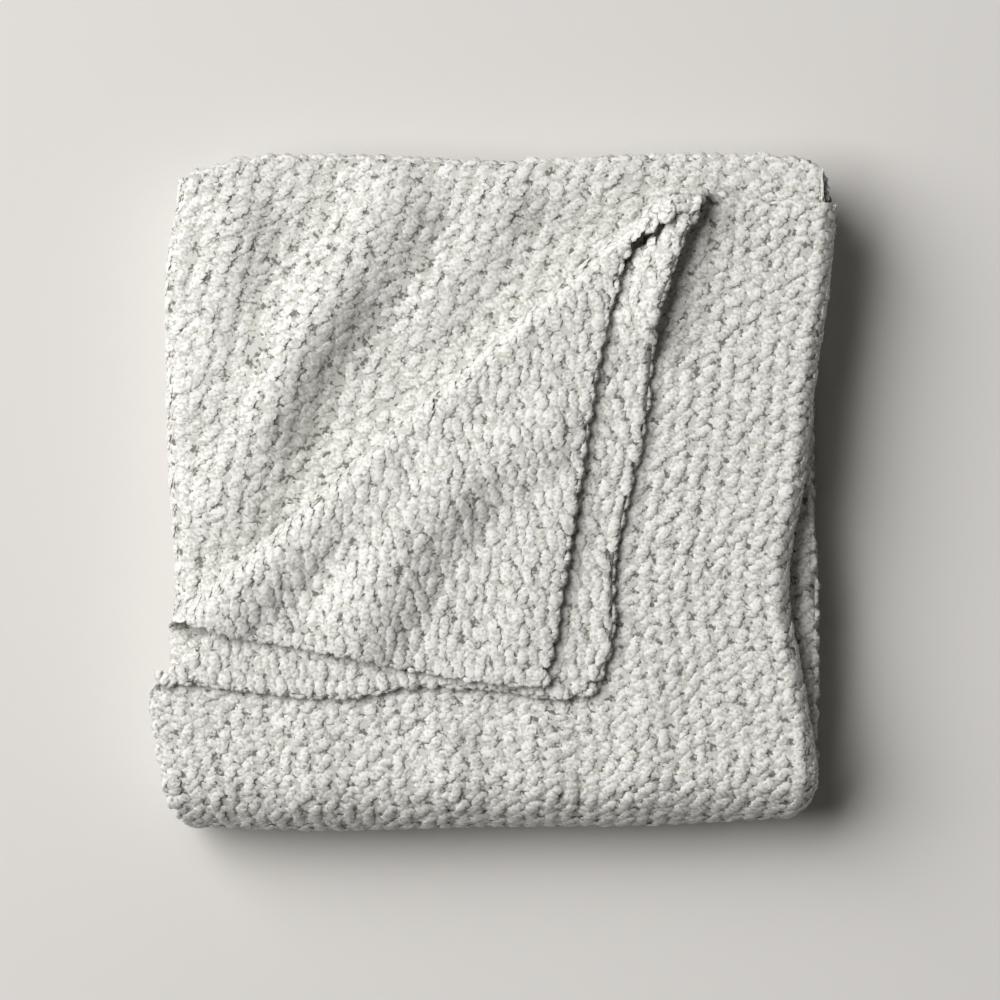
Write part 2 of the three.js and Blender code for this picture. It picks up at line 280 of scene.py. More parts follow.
@dataclass
class FoldedCloth:
    """The throw's folds: a mapping from two running numbers to a point of the cloth's middle.

    across: 0 layer 1, 1 right fold, 2 layer 2, 3 left fold, 4 layer 3.
    along: 0 run 1, 1 front bend, 2 run 2, 3 end fold, then back again on the other ply.

    front_draw_in is the share by which the bundle narrows at the front bend, and back_step is where across
    the free ends step back. Side lines are read in line_passes, directions over a nudge of running numbers.
    """

    ply_pitch: float = 6.0
    thickness: float = 4.4
    nominal_back: float = 178.0
    nominal_front: float = -205.0
    front_draw_in: float = 0.075
    layer_length: float = 385.0
    run_length: float = 345.0
    back_step: tuple[float, float] = (1.7, 2.0)
    line_passes: int = 2
    nudge: float = 1e-3
    settle_counts: tuple[int, int] = (241, 281)

    def __post_init__(self) -> None:
        """Works out the heights, the side lines, the turned corner and the ridges."""
        p, half = self.ply_pitch, self.thickness / 2
        self.run_1_middle, self.bend_axis, self.run_2_middle = 9 * p, 6 * p, 3 * p
        self.floor = p / 2 - half
        self.side_reach = 1.5 * p + half
        self.front_reach = 5.5 * p + half
        self.front_axis = self.nominal_front + self.front_reach
        self.shift = np.zeros(3)
        self._make_lines()
        self._make_corner()
        self._make_ridges()

    def _make_lines(self) -> None:
        """Sets the lines that the bundle's sides and ends follow."""
        at = (0.0, 0.12, 0.30, 0.50, 0.62, 0.72, 0.84, 1.0, 2.0, 2.5, 3.0)
        self.right = Curve(at, (207, 204, 195, 187, 179, 179, 187, 195, 194, 195, 191))
        self.left = Curve(at, (-197, -204, -204, -202, -199, -198, -199, -198, -197, -200, -194))
        self.cut_1 = Curve(at, (-204,) * 7 + (-205, -200, -194, -188))
        self.cut_3 = Curve(at, (186, 186, 187, 190, 194, 195, 195, 194, 190, 186, 184))
        self.front = Curve((-200, -110, -20, 90, 190), (-205, -207, -205, -204, -199))
        self.free_end = Curve(
            (2.0, 2.06, 2.25, 2.5, 2.7, 2.9, 3.0, 4.0, 4.15, 5.0),
            (198, 205, 206, 202, 205, 205, 196, 190, 197, 193),
        )
        self.end_fold = Curve((-205, -170, 0, 160, 200), (184, 196, 197, 197, 188))

    def _make_corner(self) -> None:
        """Sets the two plies of the turned corner."""
        p, half = self.ply_pitch, self.thickness / 2
        self.corner = {
            Ply.TOP: TurnedPly(
                ridge_at=(-214, -118), ridge_degrees=41.9, radius=0.5 * p, half=half, rounding=34,
                end_edge=(
                    (62, -118), (70, -88), (71, -42), (79, -5), (90, 44),
                    (97, 105), (111, 148), (117.5, 166), (125, 176),
                ),
                end_in_place=((150, 179), (210, 177)),
                selvedge=((44, -128), (2, -121), (-41, -118), (-102, -125), (-151, -121), (-184, -117)),
                selvedge_in_place=((-212, -128), (-205, -169)),
            ),
            Ply.UNDER: TurnedPly(
                ridge_at=(-184, -63), ridge_degrees=40.8, radius=1.5 * p, half=half, rounding=16,
                end_edge=(
                    (30, -112), (35, -86), (41, -48), (51, 13), (63, 87),
                    (75, 135), (82, 152), (96, 163), (107, 171),
                ),
                end_in_place=((124, 179), (150, 175), (210, 173)),
                selvedge=((18, -118), (-10, -115), (-47, -109), (-96, -99), (-145, -90), (-172, -85)),
                selvedge_in_place=((-199, -100), (-205, -169)),
            ),
        }
        self.end_curve = {ply: corner.end_curve() for ply, corner in self.corner.items()}
        self.selvedge_curve = {ply: corner.selvedge_curve() for ply, corner in self.corner.items()}

    def _make_ridges(self) -> None:
        """Sets the soft ridges on the top, by what they lift."""
        p = self.ply_pitch
        layer_2, layer_1 = (8.6 * p, 9.4 * p), (9.6 * p, 10.4 * p)
        both_flaps, flap = (11.7 * p, 12.4 * p), (12.6 * p, 13.4 * p)
        self.ridges = (
            Ridge(10, 40, *layer_2, ((-66, 176), (-93, 132), (-126, 92), (-148, 32), (-166, -5))),
            Ridge(6, 28, *layer_2, ((-102, 116), (-122, 84), (-140, 48))),
            Ridge(6, 28, *layer_2, ((-160, 168), (-168, 115), (-180, 55))),
            Ridge(5, 30, *layer_2, ((70, 186), (10, 182), (-20, 186))),
            Ridge(4, 26, *layer_2, ((6, 178), (-16, 146), (-42, 108))),
            Ridge(2.5, 24, *layer_1, ((-118, -145), (-110, -200))),
            Ridge(2.5, 22, *layer_1, ((-32, -150), (-24, -200))),
            Ridge(2, 22, *layer_1, ((24, -145), (30, -195))),
            Ridge(2, 24, *layer_1, ((94, -110), (86, -190))),
            Ridge(11, 32, *both_flaps, ((120, 176), (108, 146), (96, 108))),
            Ridge(7, 30, *flap, ((-78, 14), (-120, -30), (-168, -70))),
            Ridge(10, 40, *flap, ((-35, -2), (-60, -28), (-72, -56), (-82, -74))),
            Ridge(4, 30, *flap, ((30, 40), (0, 20))),
            Ridge(2, 26, *flap, ((40, -10), (22, -60), (8, -92))),
        )

    def _round_tip(self, across: Array, path: Array, rounding: float) -> tuple[Array, Array]:
        """Draws points near the turned corner's tip in, so that it becomes a round one.

        Args:
            across: running numbers across.
            path: places on the path from the back of run 1.
            rounding: the round tip's radius.

        Returns:
            Running numbers across and places on the path after that.
        """
        s = np.maximum(1 - across * self.layer_length / rounding, 0.0)
        t = np.maximum(1 - path * self.run_length / rounding, 0.0)
        pull_across = (s - s * np.sqrt(1 - t * t / 2)) * rounding / self.layer_length
        pull_path = (t - t * np.sqrt(1 - s * s / 2)) * rounding / self.run_length
        return across + pull_across, path + pull_path

    def _fold_in_three(
        self, across: Array, offset: Array, lines_at: Array, ply: Ply
    ) -> tuple[Array, Array]:
        """Folds the pair in three.

        Args:
            across: running numbers across.
            offset: height of the ply from the middle of the pair.
            lines_at: where on the path the side lines are read.
            ply: which ply's selvedge ends layer 1.

        Returns:
            The place across the bundle, and the height from the stack's middle.
        """
        p = self.ply_pitch
        right = self.right(lines_at) - self.side_reach
        left = self.left(lines_at) + self.side_reach
        y = lerp(self.nominal_back, self.front_axis, lines_at)
        cut_1 = np.where(lines_at < 1, self.selvedge_curve[ply](y), self.cut_1(lines_at))
        stretch = np.clip(np.floor(across), 0, 4).astype(int)
        part = across - stretch
        turn = part * math.pi
        x = np.choose(stretch, [
            lerp(cut_1, right, part),
            right + (p + offset) * np.sin(turn),
            lerp(right, left, part),
            left - (p - offset) * np.sin(turn),
            lerp(left, self.cut_3(lines_at), part),
        ])
        height = np.choose(stretch, [
            2 * p + offset,
            p + (p + offset) * np.cos(turn),
            -offset,
            -p + (p - offset) * np.cos(turn),
            -2 * p + offset,
        ])
        return x, height

    def _bend_double(
        self, across: Array, path: Array, past: Array, x: Array, height: Array, ply: Ply
    ) -> Array:
        """Bends the flat stack double at the front.

        Args:
            across: running numbers across.
            path: place on the path from the back of run 1 to the back of run 2.
            past: how far the point lies past the end of run 2, in its end fold.
            x: place across the bundle.
            height: height from the stack's middle.
            ply: which ply's end is the end of layer 1.

        Returns:
            The points, one a row.
        """
        axis = self.front(x) + self.front_reach
        layer_1 = self.end_curve[ply](x)
        step = smoothstep(across, *self.back_step)
        others = lerp(self.end_curve[ply].value[-1], self.free_end(across), step)
        end = np.where(across <= 1, layer_1, others)
        turn = np.clip(path - 1, 0, 1) * math.pi
        radius = self.run_1_middle - self.bend_axis + height
        run_1 = lerp(end, axis, path)
        run_2 = lerp(axis, self.end_fold(x), path - 2) + past
        y = np.where(path <= 1, run_1, np.where(path < 2, axis - radius * np.sin(turn), run_2))
        return np.column_stack([x, y, self.bend_axis + radius * np.cos(turn)])

    def _square(self, across: Array, along: Array, ply: Ply) -> Array:
        """Finds points of one ply before the corner is turned.

        The side lines are read by place in run 1, so the place is found in passes.

        Args:
            across: running numbers across.
            along: running numbers along.
            ply: which ply.

        Returns:
            The points, one a row.
        """
        turn = np.clip(along - END_FOLD, 0, 1) * math.pi
        path = np.where(along <= END_FOLD, along, np.minimum(ALONG_END - along, END_FOLD))
        offset, past = self.ply_pitch / 2 * np.cos(turn), self.ply_pitch / 2 * np.sin(turn)
        across, path = self._round_tip(across, path, self.corner[ply].rounding)
        lines_at = path
        for _ in range(self.line_passes):
            x, height = self._fold_in_three(across, offset, lines_at, ply)
            place = self._bend_double(across, path, past, x, height, ply)
            by_place = (self.nominal_back - place[:, 1]) / (self.nominal_back - self.front_axis)
            lines_at = np.where(path < 1, by_place, path)
        return place

    def beyond_fold(self, across: Array, along: Array, ply: Ply) -> Array:
        """Measures how far points of layer 1 in run 1 lie beyond the turned corner's fold."""
        place = self._square(across, along, ply)
        return self.corner[ply].beyond(place[:, 0], place[:, 1])

    def _ply_middle(self, across: Array, along: Array, ply: Ply) -> Array:
        """Finds points of the cloth's middle, all on one ply.

        Args:
            across: running numbers across.
            along: running numbers along.
            ply: which ply.

        Returns:
            The points, one a row, above the floor and before the cloth is shifted.
        """
        place = self._square(across, along, ply)
        path = np.where(along <= END_FOLD, along, ALONG_END - along)
        turned = (across <= 1) & (path < 1)
        place = np.where(turned[:, None], self.corner[ply].turn_over(place), place)
        bent = np.maximum(self.front_axis - place[:, 1], 0.0) / self.front_reach
        place[:, 0] *= 1 - self.front_draw_in * bent * bent
        place[:, 2] += sum(ridge.lift(place) for ridge in self.ridges) - self.floor
        return place

    def middle(self, across: Array, along: Array) -> Array:
        """Finds points of the cloth's middle.

        Args:
            across: running numbers across, 0 to 5.
            along: running numbers along, 0 to 7.

        Returns:
            The points, one a row.
        """
        across, along = (np.asarray(n, float).ravel() for n in np.broadcast_arrays(across, along))
        place = np.empty((len(across), 3))
        for ply, mask in ((Ply.TOP, along < PLY_CHANGE), (Ply.UNDER, along >= PLY_CHANGE)):
            if mask.any():
                place[mask] = self._ply_middle(across[mask], along[mask], ply)
        return place + self.shift

    def tangents(self, across: Array, along: Array) -> tuple[Array, Array, Array]:
        """Finds the cloth's directions.

        Args:
            across: running numbers across.
            along: running numbers along.

        Returns:
            Unit vectors across, along and straight out of the cloth's outer face.
        """
        low, high = np.maximum(across - self.nudge, 0), np.minimum(across + self.nudge, ACROSS_END)
        sideways = unit(self.middle(high, along) - self.middle(low, along))
        low, high = np.maximum(along - self.nudge, 0), np.minimum(along + self.nudge, ALONG_END)
        forwards = unit(self.middle(across, high) - self.middle(across, low))
        return sideways, forwards, unit(np.cross(forwards, sideways))

    def settle_in(self, low: Vector, high: Vector) -> None:
        """Sets the cloth on the middle of the solid's box, as the solid is.

        Args:
            low: lowest corner of the solid's box, in metres.
            high: highest corner of the solid's box, in metres.
        """
        across, along = whole_sheet(self.settle_counts)
        place, out = self.middle(across, along), self.tangents(across, along)[2]
        faces = np.vstack([place + out * self.thickness / 2, place - out * self.thickness / 2])
        middle = (faces.min(axis=0) + faces.max(axis=0)) / 2
        wanted = (np.array(low) + np.array(high)) / 2 / METRE
        self.shift[:2] = wanted[:2] - middle[:2]


@dataclass(frozen=True)
class Gauge:
    """The knit's gauge, and how lengths along the sheet turn into running numbers.

    first_wale and first_course place the first stitch's middle, as shares of a stitch.
    """

    wale: float = 11.5
    course: float = 6.4
    first_wale: float = 0.5
    first_course: float = 0.9
    layer: float = 385.0
    inner_layers: float = 370.0
    wide_fold: float = 28.3
    tight_fold: float = 9.4
    run_1: float = 345.0
    run_2: float = 365.0
    top_bend: float = 103.7
    under_bend: float = 50.0
    end_fold: float = 9.4

    def stops(self, ply: Ply) -> tuple[Array, Array]:
        """Gives the lengths at which the stretches of one ply end.

        Args:
            ply: which ply.

        Returns:
            Lengths across for numbers 0 to 5, and along the path for numbers 0 to 3.5.
        """
        folds = (self.wide_fold, self.tight_fold)
        first, second = folds if ply is Ply.TOP else folds[::-1]
        bend = self.top_bend if ply is Ply.TOP else self.under_bend
        across = np.cumsum([0, self.layer, first, self.inner_layers, second, self.inner_layers])
        path = np.cumsum([0, self.run_1, bend, self.run_2, self.end_fold / 2])
        return across, path

    def numbers(self, ply: Ply, s: Array, t: Array) -> tuple[Array, Array, Array, Array]:
        """Turns lengths along the sheet into running numbers.

        Args:
            ply: which ply.
            s: lengths across the sheet.
            t: lengths along the path.

        Returns:
            Running numbers across and along, and how far each length reaches past the sheet's edges.
        """
        stops_s, stops_t = self.stops(ply)
        inside_s, inside_t = np.clip(s, 0, stops_s[-1]), np.clip(t, 0, None)
        across = np.interp(inside_s, stops_s, ACROSS_STOPS)
        path = np.interp(inside_t, stops_t, PATH_STOPS)
        along = path if ply is Ply.TOP else ALONG_END - path
        past_t = (t - inside_t) * (1 if ply is Ply.TOP else -1)
        return across, along, s - inside_s, past_t


@dataclass(frozen=True)
class LoopShape:
    """One stitch's yarn, the same when it is turned half round: its middle, and knots to one end.

    A knot is a place across and up the face from the stitch's middle, a level above the cloth's middle, and
    the yarn's radius there. The middle is a level and a radius.
    """

    middle: tuple[float, float]
    half: tuple[tuple[float, float, float, float], ...]
    steps: int
    sides: int = 6

    def route(self) -> tuple[Array, Array]:
        """Works out the yarn's line from end to end.

        Returns:
            Points as rows of place across, place up and level, and the yarn's radius at each.
        """
        half = np.array(self.half)
        knots = np.vstack([(half * (-1, -1, 1, 1))[::-1], (0.0, 0.0, *self.middle), half])
        line = smooth_line(knots, self.steps)
        return line[:, :3], line[:, 3]


@dataclass(frozen=True)
class StitchFace:
    """One face of the knit: every other stitch stands in front, and those between them stand back."""

    front: LoopShape
    back: LoopShape


LEGS = StitchFace(
    front=LoopShape(
        middle=(1.0, 3.6),
        half=((1.25, 2.2, 0.95, 3.5), (2.6, 3.9, 0.85, 3.1), (4.6, 3.8, 0.75, 2.7), (7.4, 3.0, 0.2, 1.4)),
        steps=12,
    ),
    back=LoopShape(
        middle=(0.7, 3.4),
        half=((1.2, 2.1, 0.65, 3.3), (2.8, 3.6, 0.55, 2.8), (4.8, 3.4, 0.5, 2.3), (7.2, 3.0, 0.1, 1.3)),
        steps=10,
    ),
)
BUMPS = StitchFace(
    front=LoopShape(
        middle=(1.0, 3.6),
        half=((2.6, 0.8, 0.95, 3.5), (4.6, 1.5, 0.8, 3.0), (7.4, 1.8, 0.2, 1.4)),
        steps=11,
    ),
    back=LoopShape(
        middle=(0.75, 3.4),
        half=((2.8, 0.8, 0.7, 3.2), (5.0, 1.3, 0.45, 2.5), (7.2, 1.5, 0.1, 1.3)),
        steps=9,
    ),
)


@dataclass(frozen=True)
class Region:
    """A part of the cloth's face that shows, whose stitches are made as loops.

    across and path are ranges of running numbers, and beyond is a range of places beyond the turned corner's
    fold. hide_covered leaves out stitches that lie under another layer, slant is how far the wales lean for
    each millimetre along, and fuzz is how far the yarn's fuzz evens out its shading.
    """

    name: str
    ply: Ply
    face: Face
    across: tuple[float, float]
    path: tuple[float, float]
    stitch: StitchFace = LEGS
    hide_covered: bool = False
    beyond: tuple[float, float] | None = None
    slant: float = 0.0
    fuzz: float = 0.55

    @property
    def up(self) -> int:
        """The sign that turns a place up the face into one along the path, so that no loop is mirrored."""
        return -self.face.value if self.ply is Ply.TOP else self.face.value


@dataclass(frozen=True)
class EdgeShape:
    """The yarn's turns along the throw's edges.

    Each lies along the edge, a little way in at middle_depth, with its ends drawn into the cloth to depth.
    span is half its length, as a share of pitch.
    """

    pitch: float = 11.5
    span: float = 0.42
    middle_depth: float = 0.2
    depth: float = 5.5
    level: float = 0.4
    radius: float = 2.3
    sides: int = 6
    steps: int = 10

    def route(self) -> Array:
        """Works out a turn's line.

        Returns:
            Points as rows of place along the edge, depth into the cloth, and level.
        """
        span = self.span * self.pitch
        # Knots from near the middle to one end, by shares of the span, the depth and the level.
        half = np.array([
            (0.55 * span, self.middle_depth, self.level),
            (0.95 * span, 0.4 * self.depth, 0.2 * self.level),
            (span, self.depth, -self.level),
        ])
        return smooth_line(np.vstack([(half * (-1, 1, 1))[::-1], half]), self.steps)


@dataclass(frozen=True)
class TipTurns:
    """The yarn's turns that close the roll's end at the turned corner's tip.

    Each arches by bulge from one place to another, and thins to end_radius there.
    """

    spans: tuple[tuple[tuple[float, float, float], tuple[float, float, float]], ...] = (
        ((99, 182.5, 80), (116, 186, 79)),
        ((113, 184, 80), (131, 183, 78)),
        ((102, 177, 85), (121, 180.5, 82)),
        ((117, 178, 82), (129, 179, 80)),
        ((107, 173, 88), (124, 174, 85)),
    )
    bulge: float = 1.2
    radius: float = 3.3
    end_radius: float = 1.6
    sides: int = 6
    steps: int = 10

    def routes(self) -> tuple[Array, Array]:
        """Works out the turns' lines.

        Returns:
            Points by turn, ring and coordinate, and the yarn's radius by turn and ring.
        """
        ends = np.array(self.spans)
        share = np.linspace(0, 1, self.steps + 1)
        arch = np.sin(math.pi * share)
        lines = lerp(ends[:, :1], ends[:, 1:], share[None, :, None])
        lines[..., 2] += self.bulge * arch
        radius = lerp(self.end_radius, self.radius, np.sqrt(arch))
        return lines, np.broadcast_to(radius, lines.shape[:2])


def new_object(name: str, data: bpy.types.ID) -> bpy.types.Object:
    """Links a new object at the origin.

    Args:
        name: the object's name.
        data: its mesh, light or camera.

    Returns:
        The object.
    """
    piece = bpy.data.objects.new(name, data)
    bpy.context.scene.collection.objects.link(piece)
    return piece


def tube_mesh(name: str, rings: Array, lengths: Array, tone: Array) -> bpy.types.Mesh:
    """Joins many closed tubes into one mesh.

    Args:
        name: the mesh's name.
        rings: points by tube, ring, side and coordinate, in millimetres.
        lengths: by tube and ring, the length along the yarn in millimetres.
        tone: one value a tube, 0 to 1, for uneven colour.

    Returns:
        The mesh, with the UV map yarn, along and round the yarn, and the point attribute tone.
    """
    tubes, count, sides, _ = rings.shape
    start = np.arange(tubes)[:, None, None] * count * sides
    ring = np.arange(count - 1)[None, :, None] * sides
    side = np.arange(sides)[None, None, :]
    following = (side + 1) % sides
    quads = np.stack([
        start + ring + side,
        start + ring + following,
        start + ring + sides + following,
        start + ring + sides + side,
    ], axis=-1).reshape(-1, 4)
    first_cap = (start[:, 0] + np.arange(sides)[::-1][None]).reshape(-1, sides)
    last_cap = (start[:, 0] + (count - 1) * sides + np.arange(sides)[None]).reshape(-1, sides)
    caps = np.vstack([first_cap, last_cap])
    corners = np.concatenate([quads.ravel(), caps.ravel()])
    starts = np.concatenate([np.arange(len(quads)) * 4, quads.size + np.arange(len(caps)) * sides])
    mesh = bpy.data.meshes.new(name)
    mesh.vertices.add(tubes * count * sides)
    mesh.vertices.foreach_set("co", (rings * METRE).ravel())
    mesh.loops.add(len(corners))
    mesh.loops.foreach_set("vertex_index", corners.astype(np.int32))
    mesh.polygons.add(len(starts))
    mesh.polygons.foreach_set("loop_start", starts.astype(np.int32))
    mesh.polygons.foreach_set("use_smooth", np.ones(len(starts), bool))
    mesh.update(calc_edges=True)
    point_u = lengths.repeat(sides, axis=1).reshape(-1)
    quad_v = np.stack([side, side + 1, side + 1, side], axis=-1) / sides
    quad_v = np.broadcast_to(quad_v, (tubes, count - 1, sides, 4)).reshape(-1)
    coords = np.column_stack([point_u[corners], np.concatenate([quad_v, np.zeros(caps.size)])])
    mesh.uv_layers.new(name="yarn").data.foreach_set("uv", coords.astype(np.float32).ravel())
    values = np.repeat(tone, count * sides).astype(np.float32)
    mesh.attributes.new("tone", "FLOAT", "POINT").data.foreach_set("value", values)
    return mesh


def add_fuzz(mesh: bpy.types.Mesh, facing: Array, share: float) -> None:
    """Evens out how yarn takes the light, as its fuzz does, by turning its normals towards the cloth's.

    The back of the yarn keeps its own normals, so that it doesn't turn dark where it shows.

    Args:
        mesh: the yarn's mesh.
        facing: the cloth's outward direction at each point of the mesh.
        share: how far the normals turn, 0 to 1.
    """
    normals = np.empty(facing.size, np.float32)
    mesh.vertices.foreach_get("normal", normals)
    normals = normals.reshape(-1, 3)
    front = smoothstep((normals * facing).sum(axis=1, keepdims=True), *FUZZ_FADE)
    fuzzy = unit(lerp(normals, facing, share * front))
    mesh.normals_split_custom_set_from_vertices(fuzzy.tolist())


@dataclass(frozen=True)
class YarnSection:
    """The yarn's section: an oval of three plies, which turn as the yarn runs on."""

    flatness: float = 0.3
    ply_depth: float = 0.18
    twist_degrees_mm: float = 26.0

    def sweep(self, lines: Array, out: Array, radius: Array, sides: int) -> Array:
        """Sweeps the section along lines.

        Args:
            lines: points by tube, ring and coordinate.
            out: the cloth's outward direction at each point.
            radius: the section's half width at each point.
            sides: number of sides of the section, two for each ply.

        Returns:
            Points by tube, ring, side and coordinate.
        """
        ahead = unit(np.gradient(lines, axis=1))
        up = unit(out - (out * ahead).sum(axis=-1, keepdims=True) * ahead)
        aside = np.cross(ahead, up)
        run = yarn_lengths(lines)
        side = np.arange(sides)
        angle = math.radians(self.twist_degrees_mm) * run[:, :, None] + side * 2 * math.pi / sides
        reach = radius[:, :, None] * (1 + self.ply_depth * np.where(side % 2, 1, -1))
        ring = up[:, :, None] * (self.flatness * reach * np.cos(angle))[..., None]
        return lines[:, :, None] + ring + aside[:, :, None] * (reach * np.sin(angle))[..., None]


def yarn_lengths(lines: Array) -> Array:
    """Measures the length along each line, by tube and ring."""
    step = np.linalg.norm(np.diff(lines, axis=1), axis=2)
    return np.concatenate([np.zeros((len(lines), 1)), np.cumsum(step, axis=1)], axis=1)


def to_linear(hex_colour: str) -> tuple[float, float, float, float]:
    """Turns an sRGB hex colour into linear values.

    Args:
        hex_colour: such as "#d8d6cf".

    Returns:
        Red, green, blue and alpha.
    """
    parts = [int(hex_colour[i:i + 2], 16) / 255 for i in (1, 3, 5)]
    linear = [c / 12.92 if c <= 0.04045 else ((c + 0.055) / 1.055) ** 2.4 for c in parts]
    return (*linear, 1.0)


def new_material(name: str) -> bpy.types.Material:
    """Makes a material without nodes yet.

    Args:
        name: the material's name.

    Returns:
        The material.
    """
    material = bpy.data.materials.new(name)
    material.use_nodes = True
    material.node_tree.nodes.clear()
    return material


def add_node(
    tree: bpy.types.NodeTree, kind: str, settings: dict | None = None, links: dict | None = None
) -> bpy.types.Node:
    """Adds one node.

    Args:
        tree: the material's node tree.
        kind: the node's type name, after ShaderNode.
        settings: attributes of the node, or values of its inputs by name or number.
        links: output sockets to link, by the input's name or number.

    Returns:
        The node.
    """
    node = tree.nodes.new("ShaderNode" + kind)
    for name, value in (settings or {}).items():
        if isinstance(name, str) and hasattr(node, name):
            setattr(node, name, value)
        else:
            node.inputs[name].default_value = value
    for name, socket in (links or {}).items():
        tree.links.new(socket, node.inputs[name])
    return node


@dataclass(frozen=True)
class MarledYarn:
    """Soft marled yarn, of white and pale grey plies twisted together and spun loosely.

    To the eye it is matt and a little furry, lets some light through, and is flecked where a ply comes up.
    The flecks and the fibres are drawn coarser than the real ones, so that they show.
    """

    white: str = "#f5f4ef"
    grey: str = "#cac9be"
    grey_below: float = 0.28
    white_above: float = 0.62
    fibre_mm: float = 1.6
    fibre_depth_mm: float = 0.6
    fibre_bump: float = 0.2
    blotch_mm: float = 2.0
    wander: float = 0.6
    ply_share: float = 0.1
    roughness: float = 0.95
    specular: float = 0.2
    sheen: float = 0.4
    scatter: float = 0.4
    scatter_mm: float = 2.5

    def material(self) -> bpy.types.Material:
        """Makes the material for yarn, which reads its UV map yarn and its attribute tone.

        Returns:
            The material.
        """
        material = new_material("marled_yarn")
        tree = material.node_tree
        place = add_node(tree, "TexCoord")
        yarn = add_node(tree, "UVMap", {"uv_map": "yarn"})
        tone = add_node(tree, "Attribute", {"attribute_name": "tone"})
        split = add_node(tree, "SeparateXYZ", links={0: yarn.outputs["UV"]})
        blotch = add_node(
            tree, "TexNoise", {"Scale": 1 / (self.blotch_mm * METRE), "Detail": 0.0},
            {"Vector": place.outputs["Object"]},
        )
        turn = add_node(
            tree, "Math", {"operation": "ADD"}, {0: split.outputs[1], 1: tone.outputs["Fac"]}
        )
        turn = add_node(
            tree, "Math", {"operation": "MULTIPLY_ADD", 1: self.wander},
            {0: blotch.outputs["Fac"], 2: turn.outputs[0]},
        )
        wave = add_node(
            tree, "Math", {"operation": "MULTIPLY", 1: 2 * math.pi}, {0: turn.outputs[0]}
        )
        ply = add_node(tree, "Math", {"operation": "SINE"}, {0: wave.outputs[0]})
        blend = add_node(
            tree, "Math", {"operation": "MULTIPLY_ADD", 1: self.ply_share},
            {0: ply.outputs[0], 2: blotch.outputs["Fac"]},
        )
        share = add_node(
            tree, "MapRange", {"From Min": self.grey_below, "From Max": self.white_above},
            {"Value": blend.outputs[0]},
        )
        colour = add_node(
            tree, "Mix",
            {"data_type": "RGBA", 6: to_linear(self.grey), 7: to_linear(self.white)},
            {0: share.outputs["Result"]},
        )
        fibre = add_node(
            tree, "TexNoise", {"Scale": 1 / (self.fibre_mm * METRE), "Detail": 1.0},
            {"Vector": place.outputs["Object"]},
        )
        bump = add_node(
            tree, "Bump", {"Strength": self.fibre_bump, "Distance": self.fibre_depth_mm * METRE},
            {"Height": fibre.outputs["Fac"]},
        )
        shader = add_node(
            tree, "BsdfPrincipled",
            {
                "Roughness": self.roughness, "Sheen Weight": self.sheen,
                "Specular IOR Level": self.specular,
                "Subsurface Weight": self.scatter, "Subsurface Scale": self.scatter_mm * METRE,
                "Subsurface Radius": (1.0, 1.0, 1.0),
            },
            {"Base Color": colour.outputs[2], "Normal": bump.outputs[0]},
        )
        add_node(tree, "OutputMaterial", links={0: shader.outputs[0]})
        return material


@dataclass(frozen=True)
class KnitWeb:
    """The same yarn knitted up as the cloth's web, behind the loops and on the sides that are out of sight.

    To the eye it is matt, with the stitches as low relief. Between them it is darkened with painted shade,
    broken up by random speckle.
    """

    colour: str = "#d2d0c8"
    # The dark colour below is painted shade, which the web takes between the stitches and in random specks.
    painted_shade: str = "#7c7a73"
    painted_shade_below: float = 0.34
    colour_above: float = 0.50
    speckle_mm: float = 2.4
    nub_share: float = 0.12
    relief_mm: float = 1.2
    relief_bump: float = 0.3
    roughness: float = 0.95
    specular: float = 0.2

    def material(self, gauge: Gauge) -> bpy.types.Material:
        """Makes the material for the web, which reads its UV map sheet, in millimetres.

        Args:
            gauge: the size of the stitches.

        Returns:
            The material.
        """
        material = new_material("knit_web")
        tree = material.node_tree
        place = add_node(tree, "TexCoord")
        sheet = add_node(tree, "UVMap", {"uv_map": "sheet"})
        split = add_node(tree, "SeparateXYZ", links={0: sheet.outputs["UV"]})
        waves = []
        for output, size in ((0, gauge.wale), (1, gauge.course)):
            angle = add_node(
                tree, "Math", {"operation": "MULTIPLY", 1: math.pi / size},
                {0: split.outputs[output]},
            )
            waves.append(add_node(tree, "Math", {"operation": "COSINE"}, {0: angle.outputs[0]}))
        nub = add_node(
            tree, "Math", {"operation": "MULTIPLY"},
            {0: waves[0].outputs[0], 1: waves[1].outputs[0]},
        )
        speckle = add_node(
            tree, "TexNoise", {"Scale": 1 / (self.speckle_mm * METRE), "Detail": 1.0},
            {"Vector": place.outputs["Object"]},
        )
        height = add_node(
            tree, "Math", {"operation": "MULTIPLY_ADD", 1: self.nub_share},
            {0: nub.outputs[0], 2: speckle.outputs["Fac"]},
        )
        share = add_node(
            tree, "MapRange", {"From Min": self.painted_shade_below, "From Max": self.colour_above},
            {"Value": height.outputs[0]},
        )
        # Mixes from painted shade between the stitches to the web's own colour on them.
        colour = add_node(
            tree, "Mix",
            {"data_type": "RGBA", 6: to_linear(self.painted_shade), 7: to_linear(self.colour)},
            {0: share.outputs["Result"]},
        )
        bump = add_node(
            tree, "Bump", {"Strength": self.relief_bump, "Distance": self.relief_mm * METRE},
            {"Height": share.outputs["Result"]},
        )
        shader = add_node(
            tree, "BsdfPrincipled",
            {"Roughness": self.roughness, "Specular IOR Level": self.specular},
            {"Base Color": colour.outputs[2], "Normal": bump.outputs[0]},
        )
        add_node(tree, "OutputMaterial", links={0: shader.outputs[0]})
        return material


